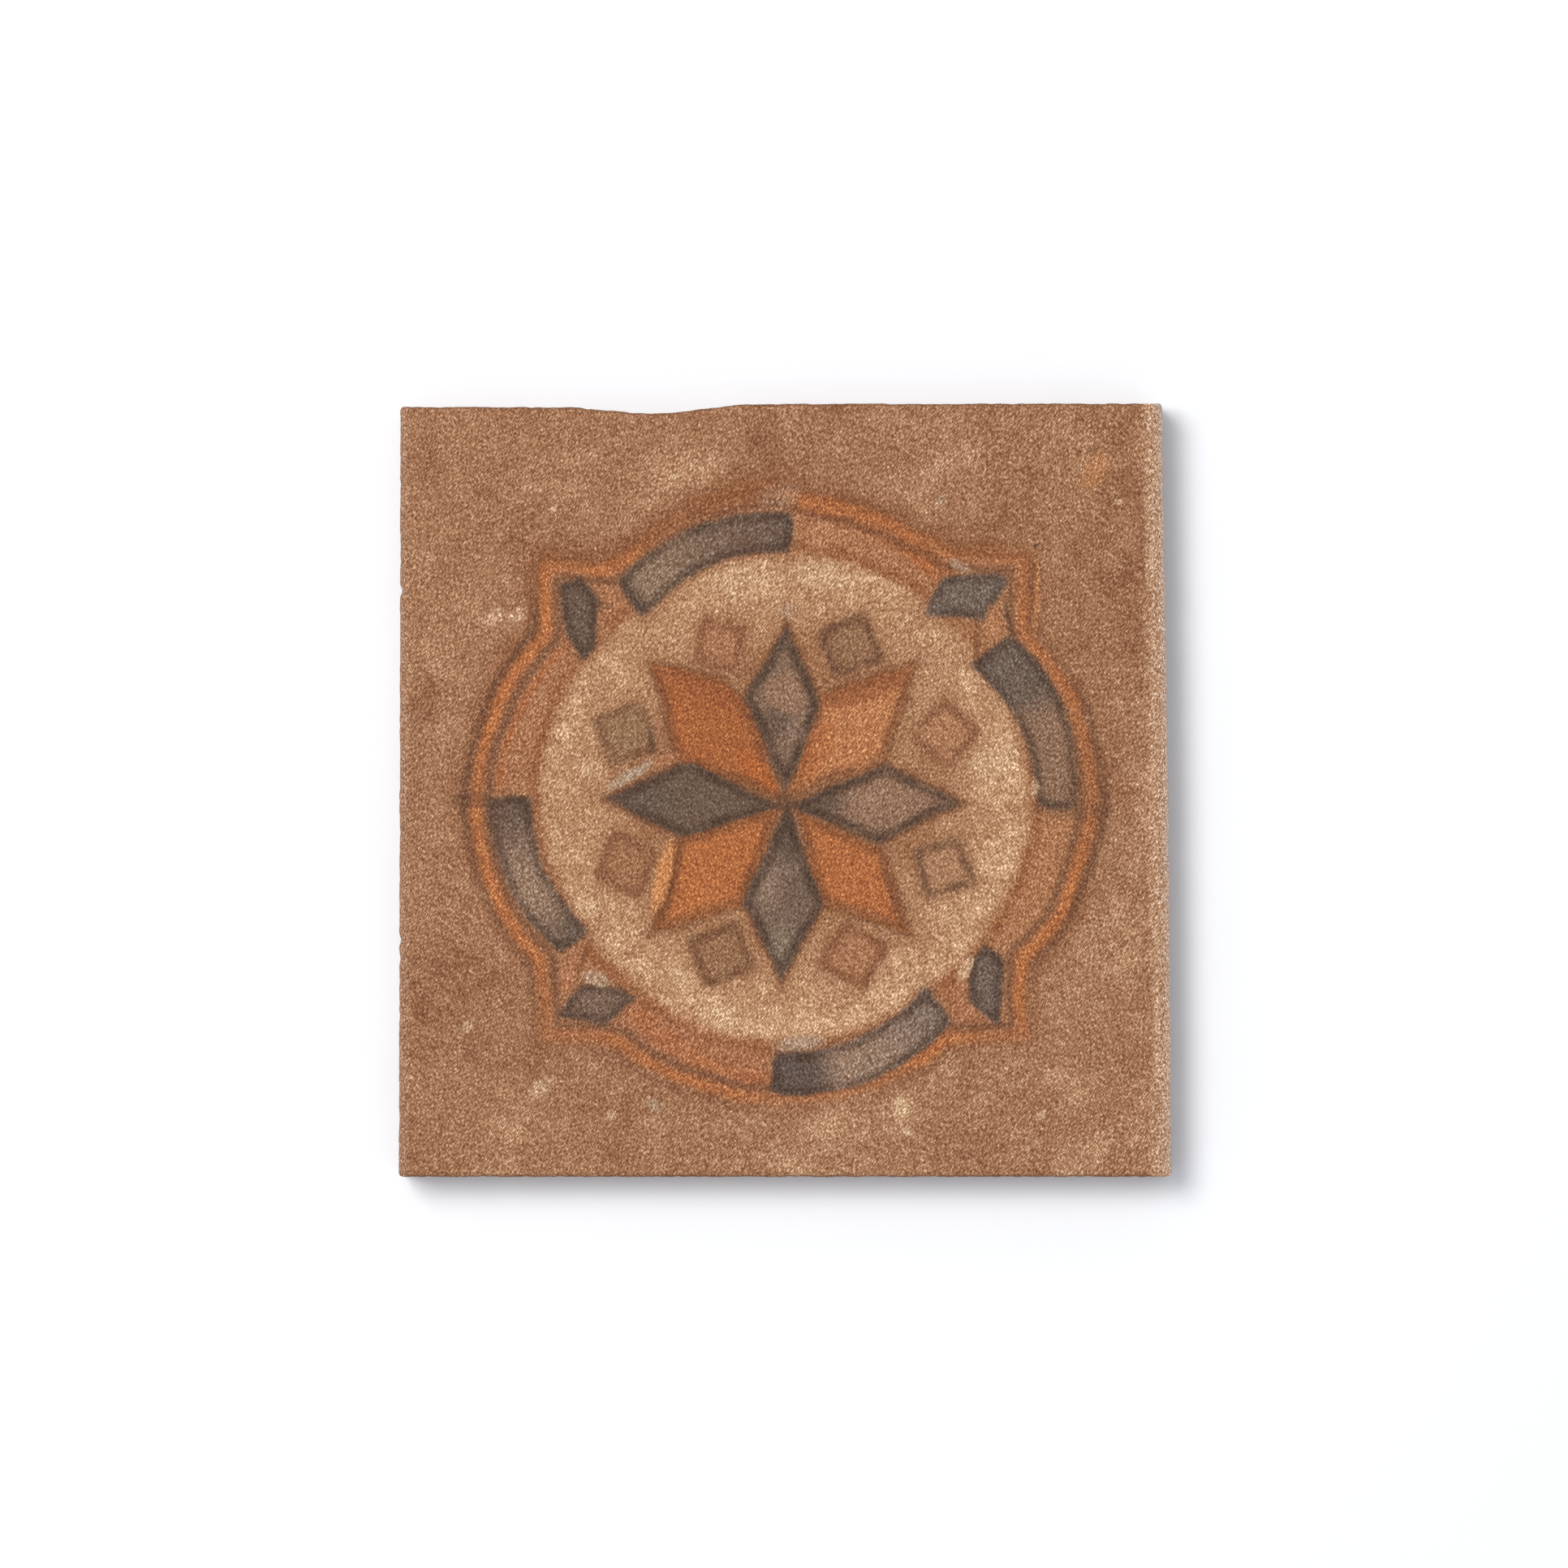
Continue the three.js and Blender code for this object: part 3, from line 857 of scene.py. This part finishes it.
# Place, half length, half width, turn, colour and cover
TOUCHES = (
    ((-20.1, 2.9), 3.3, 0.75, 30, "pale grey", 0.85),
    ((-15.4, 4.9), 2.2, 0.6, 20, "pink", 0.5),
    ((-17.3, 7.4), 1.6, 0.5, 96, "dark", 0.6),
    ((-15.8, -10.2), 4.6, 1.05, 74, "orange", 0.9),
    ((0.0, -0.6), 1.6, 1.1, 0, "dark", 0.6),
    ((0.4, 24.2), 1.6, 0.8, 0, "pale grey", 0.3),
    ((27.1, 4.6), 3.2, 2.2, 30, "cream", 0.5),
    ((-25.2, 3.9), 1.5, 1.2, 0, "cream", 0.5),
    ((-8.3, -28.4), 2.0, 1.3, 0, "cream", 0.6),
    ((-13.8, -23.1), 1.4, 1.1, 0, "cream", 0.5),
    ((-25.8, -14.0), 1.6, 1.0, -20, "cream", 0.6),
    ((-5.0, 28.0), 5.0, 2.6, 0, "cream", 0.4),
    ((5.0, 28.6), 3.6, 2.0, -10, "cream", 0.4),
    ((37.6, -1.7), 4.6, 0.9, 0, "dark", 0.35),
    ((-40.6, -0.3), 2.8, 1.1, 0, "dark", 0.4),
    ((41.0, 0.5), 5.0, 12.0, 0, "brown", 0.2),
    ((-41.0, 0.5), 5.0, 11.0, 0, "brown", 0.14),
    ((-6.5, 38.2), 6.0, 1.3, 13, "brown", 0.5),
    ((-15.0, 34.6), 6.0, 1.2, 30, "brown", 0.45),
    ((-0.4, 39.3), 2.8, 1.6, 10, "pale grey", 0.22),
    ((1.9, -31.9), 3.2, 0.9, 6, "pale grey", 0.75),
    ((-24.4, -23.4), 2.0, 0.9, -20, "pale grey", 0.65),
    ((-27.8, -23.0), 2.6, 0.9, 62, "pink", 0.7),
    ((-29.9, -24.0), 2.6, 0.4, 92, "brown", 0.7),
    ((-26.2, -20.9), 2.6, 0.5, 66, "brown", 0.7),
    ((24.9, 20.4), 3.2, 0.5, 92, "brown", 0.7),
    ((27.2, 22.8), 2.4, 0.9, 108, "pink", 0.6),
    ((29.1, 23.4), 2.6, 0.4, 106, "dark", 0.6),
    ((22.7, 30.0), 1.6, 0.6, -30, "pale grey", 0.5),
    ((-23.7, 25.0), 1.5, 0.5, 170, "dark", 0.5),
    ((32.7, 26.4), 5.2, 0.35, 88, "orange", 0.5),
    ((31.8, 26.2), 4.4, 0.4, 88, "brown", 0.6),
    ((23.3, -22.1), 1.8, 0.8, 66, "cream", 0.65),
    ((32.4, 1.2), 1.2, 0.6, 80, "cream", 0.5),
    ((2.9, -33.8), 1.5, 0.7, 10, "dark", 0.7),
    ((15.05, -40.2), 1.3, 1.0, 110, "cream", 0.85),
    ((16.0, -43.3), 0.8, 0.6, 0, "cream", 0.55),
    ((-37.8, 23.4), 1.4, 0.9, 30, "cream", 0.5),
    ((-34.8, 23.5), 1.2, 0.9, 30, "cream", 0.5),
    ((-31.5, -37.5), 2.0, 1.1, 35, "cream", 0.5),
    ((-22.7, -41.2), 0.9, 0.6, 0, "cream", 0.5),
    ((-14.5, 41.6), 0.65, 0.45, 0, "cream", 0.8),
    ((-30.05, 37.5), 0.5, 0.38, 0, "cream", 1.0),
    ((40.2, 42.4), 2.6, 1.5, 60, "orange", 0.35),
    ((-41.2, -29.8), 1.2, 0.8, 40, "cream", 0.4),
    ((33.2, -41.2), 0.9, 0.45, 40, "cream", 0.5),
    ((-16.7, -40.2), 1.4, 0.8, -30, "pale grey", 0.45),
    ((43.4, 38.5), 0.5, 0.36, 0, "cream", 0.7),
    ((20.4, 38.6), 0.8, 0.5, 40, "pale grey", 0.5),
    ((32.6, 32.6), 0.42, 0.3, 0, "dark", 0.9),
)
for place, half_length, half_width, turn, tint, cover in TOUCHES:
    picture = lay(picture, TINTS[tint], patch(place, half_length, half_width, turn, cover))
print("touches:", len(TOUCHES))

# %% [markdown]
# ## Rims, bare clay and grain
# The right rim, and a little the left one, is painted paler, a painted highlight where the rounded rims
# catch the light, and the near and far edges are painted darker, a painted shade where they turn away.
# The colour stops unevenly a little way down each side. Below that, and past the worn far right corner,
# the fired clay shows, as it does over all of the back.

# %% The rims
# Painted highlights: paler colours for the right and left rims, and a painted shade for the near and far
# edges.
RIGHT_RIM_HIGHLIGHT = pigment(202, 162, 132)
RIGHT_RIM_OUTER_HIGHLIGHT = pigment(222, 188, 163)
LEFT_RIM_HIGHLIGHT = pigment(168, 130, 105)
PAINTED_EDGE_SHADE = pigment(118, 82, 60)

depth_share = maths("MULTIPLY_ADD", tile_y, MM / DEPTH, 0.5)
right_lean = maths("POWER", larger(depth_share, 0.0), RIGHT_EDGE_BOW) * (RIGHT_EDGE_LEAN / MM)
from_right = (tile_x + right_lean) * -1.0 + WIDTH / 2 / MM
from_left = tile_x - depth_share * (LEFT_EDGE_LEAN / MM) + WIDTH / 2 / MM
below_face = tile_z * -1.0 + THICKNESS / MM
on_side_rims = larger(fade(from_right, 2.8, 2.0), fade(from_left, 2.2, 1.4))
# Painted highlight along the right rim, strongest at its outer edge, and a weaker one on the left rim.
picture = lay(picture, RIGHT_RIM_HIGHLIGHT, fade(from_right + small * 0.4, 3.2, 1.6) * 0.9)
picture = lay(picture, RIGHT_RIM_OUTER_HIGHLIGHT, fade(from_right + small * 0.3, 1.3, 0.3))
picture = lay(picture, LEFT_RIM_HIGHLIGHT, fade(from_left + small * 0.3, 1.9, 0.3) * 0.8)
# Painted shade along the near and far edges, kept off the side rims.
painted_edge_shade = fade(below_face, 0.1, 0.35) * (on_side_rims * -1.0 + 1.0)
picture = lay(picture, PAINTED_EDGE_SHADE, painted_edge_shade * 0.5)

# %% The bare clay
CLAY = pigment(166, 146, 127)
CLAY_DEEP = pigment(143, 122, 104)
CLAY_FRESH = pigment(205, 195, 183)
GLAZE_END = 2.0

clay = lay(CLAY, CLAY_DEEP, fade(cloud + small, -0.6, 1.2))
corner_x = (right_edge(DEPTH / 2) - WORN_CORNER_RADIUS) / MM
corner_y = (far_edge(WIDTH / 2) - WORN_CORNER_RADIUS) / MM
past_x = larger(tile_x - corner_x, 0.0)
past_y = larger(tile_y - corner_y, 0.0)
past_corner = maths("SQRT", past_x * past_x + past_y * past_y) - WORN_CORNER_RADIUS / MM
bare_side = fade(below_face + cloud * 0.25, GLAZE_END - 0.1, GLAZE_END + 0.15)
chipped = fade(past_corner, -0.15, 0.05) * fade(smaller(past_x, past_y), 0.0, 0.3)
bare = larger(bare_side, chipped)
picture = lay(picture, lay(clay, CLAY_FRESH, chipped), bare)

# %% [markdown]
# Seen close up, the whole surface looks like felt, from short pale and dark strokes along both diagonals.
# Two noises, drawn out across each other, make them, and the weaker one holds the strokes that lean left.
# The pale strokes lift blue more than red, because they are creamier than the ground, so the grain
# multiplies the three parts of a colour unequally. It is calmer on the clay and a little on the disc.

# %% The grain
GRAIN_PERIOD = 0.145
GRAIN_STRETCH = 3.0
GRAIN_TURNS = (53, 124)
GRAIN_REACH = 3.4
LEFT_LEANING = 0.65
CLAY_GRAIN = 0.4
DISC_GRAIN = 0.92
GRAIN_TINT = (1.24, 1.35, 1.48)

one_way = noise_field(GRAIN_PERIOD, detail=0.0, turned=GRAIN_TURNS[0], stretch=GRAIN_STRETCH)
other_way = noise_field(GRAIN_PERIOD, detail=0.0, turned=GRAIN_TURNS[1], stretch=GRAIN_STRETCH, shift=0.4)
calm = bare * (CLAY_GRAIN - 1) + disc_cover * (DISC_GRAIN - 1) + 1.0
grain = (one_way + other_way * LEFT_LEANING) * GRAIN_REACH * calm
grain_colour = tree.nodes.new("ShaderNodeCombineColor")
for part, socket in zip(GRAIN_TINT, grain_colour.inputs):
    plug(maths("POWER", part, grain), socket)
picture = lay(picture, Field(grain_colour.outputs[0]), 1.0, "MULTIPLY")

# %% [markdown]
# ## The finish
# The face is matte, with only a slight sheen, and the grain can be felt, so it also drives a low bump.
# The clay is rougher. The same field serves for both, which keeps the grain in step with its colour.

# %% Gloss and relief
GLAZE_ROUGHNESS = 0.66
CLAY_ROUGHER = 0.2
RELIEF = 0.03 * MM

shader = tree.nodes.new("ShaderNodeBsdfPrincipled")
shader.inputs["Specular IOR Level"].default_value = 0.2
plug(picture, shader.inputs["Base Color"])
plug(bare * CLAY_ROUGHER + grain * 0.02 + GLAZE_ROUGHNESS, shader.inputs["Roughness"])
bump = tree.nodes.new("ShaderNodeBump")
bump.inputs["Strength"].default_value = 0.5
bump.inputs["Distance"].default_value = RELIEF
plug(grain * 0.2 + small * 0.5, bump.inputs["Height"])
tree.links.new(bump.outputs[0], shader.inputs["Normal"])
output = tree.nodes.new("ShaderNodeOutputMaterial")
tree.links.new(shader.outputs[0], output.inputs[0])

tile.data.materials.append(material)
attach(tile, "root")
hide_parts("tile")
print("painting:", len(tree.nodes), "nodes")

# %% [markdown]
# ## Floor, light and camera
# The tile lies on a plain white floor. A broad lamp from the far left gives the short soft shadow on the
# near and right sides, and a white surrounding gives most of the light, which leaves a faint halo of shade
# close to the tile. The camera looks straight down through a long lens, so the sides stay hidden.

# %% The floor
FLOOR_SIZE = 4.0
FLOOR_GAP = 0.05 * MM
FLOOR_COLOUR = (0.96, 0.96, 0.96, 1)

bpy.ops.object.select_all(action="DESELECT")
bpy.ops.mesh.primitive_plane_add(size=FLOOR_SIZE, location=(0, 0, -FLOOR_GAP))
floor = bpy.context.object
floor.name = "floor"
white = bpy.data.materials.new("white floor")
white.use_nodes = True
floor_shader = white.node_tree.nodes["Principled BSDF"]
floor_shader.inputs["Base Color"].default_value = FLOOR_COLOUR
floor_shader.inputs["Roughness"].default_value = 0.9
floor_shader.inputs["Specular IOR Level"].default_value = 0.1
floor.data.materials.append(white)

# %% The light
KEY_PLACE = Vector((-0.52, 0.34, 1.25))
KEY_SIZE = 0.6
KEY_POWER = 12.4
FILL = 0.62
FILL_COLOUR = (0.89, 0.92, 1.0, 1)

bpy.ops.object.light_add(type="AREA", location=KEY_PLACE)
key = bpy.context.object
key.data.size = KEY_SIZE
key.data.energy = KEY_POWER
key.rotation_euler = KEY_PLACE.to_track_quat("Z", "Y").to_euler()
world = bpy.data.worlds.new("studio")
world.use_nodes = True
background = world.node_tree.nodes["Background"]
background.inputs["Color"].default_value = FILL_COLOUR
background.inputs["Strength"].default_value = FILL
bpy.context.scene.world = world
bpy.context.scene.view_settings.view_transform = "Standard"

# %% The camera
FRAME_WIDTH = 203.4 * MM
VIEW_X = -0.16 * MM
VIEW_Y = 0.82 * MM
LENS = 200

bpy.ops.object.camera_add(location=(0, 0, 1), rotation=(0, 0, 0))
camera = bpy.context.object
camera.data.lens = LENS
camera.location = (VIEW_X, VIEW_Y, THICKNESS + FRAME_WIDTH * LENS / camera.data.sensor_width)
camera.data.clip_start = 0.01
bpy.context.scene.camera = camera
print("camera", round(camera.location.z, 3), "m above the floor")
